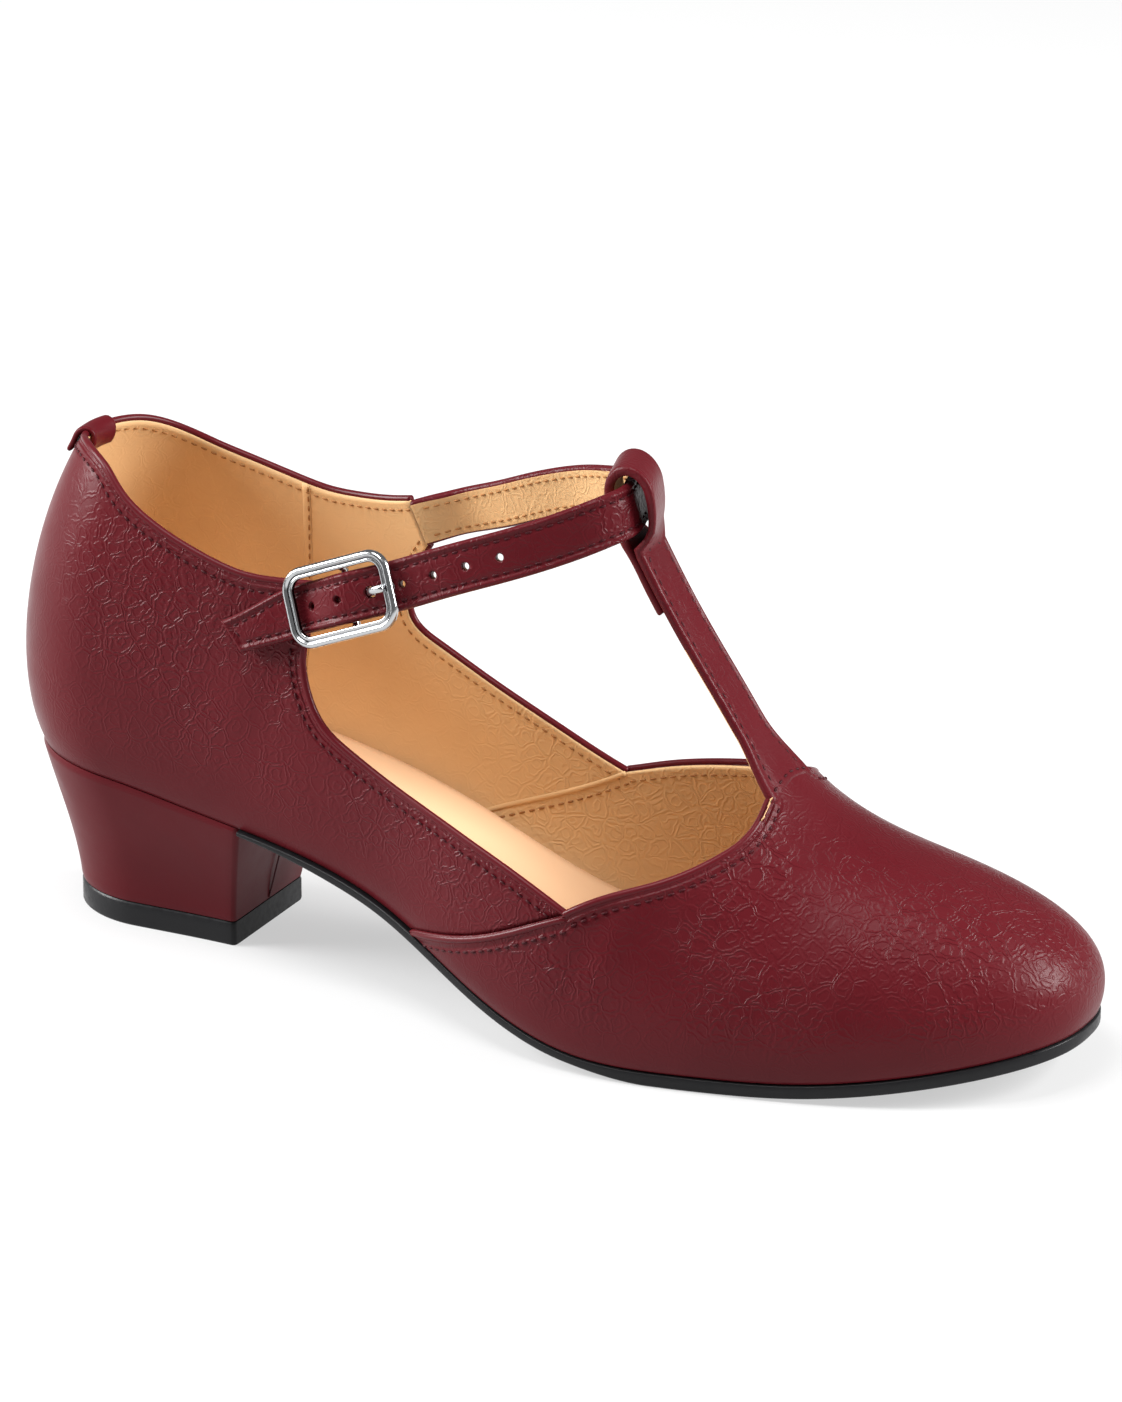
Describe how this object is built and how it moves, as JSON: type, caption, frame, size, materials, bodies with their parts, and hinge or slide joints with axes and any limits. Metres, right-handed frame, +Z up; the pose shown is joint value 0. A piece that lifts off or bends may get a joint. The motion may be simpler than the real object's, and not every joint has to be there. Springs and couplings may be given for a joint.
{
  "type": "dance shoe",
  "caption": "Low-heeled leather T-strap dance shoe for the right foot, closed toe and heel, open sides, ankle strap through a loop to a side buckle.",
  "frame": {"origin": "on the floor, at the middle of the top lift's bottom face, where the heel stands", "axes": "+X to the toe, +Y to the inner (medial) side, +Z up; the buckle is on -Y"},
  "size_m": [0.2545, 0.084, 0.124],
  "materials": {
    "upper_leather": "semi-matte burgundy leather with an embossed ring grain",
    "smooth_leather": "smooth semi-matte burgundy leather",
    "lining_leather": "matt peach-beige leather",
    "sole_rubber": "black, semi-gloss edge",
    "steel": "polished silver-coloured metal"
  },
  "bodies": {
    "root": {"upper": "upper_leather", "insole": "lining_leather", "outsole": "sole_rubber", "heel_block": "smooth_leather", "top_lift": "sole_rubber", "t_strap": "upper_leather", "ankle_strap": "upper_leather", "heel_tab": "smooth_leather", "buckle_tab": "upper_leather", "buckle_frame": "steel", "buckle_prong": "steel"}
  },
  "joints": []
}
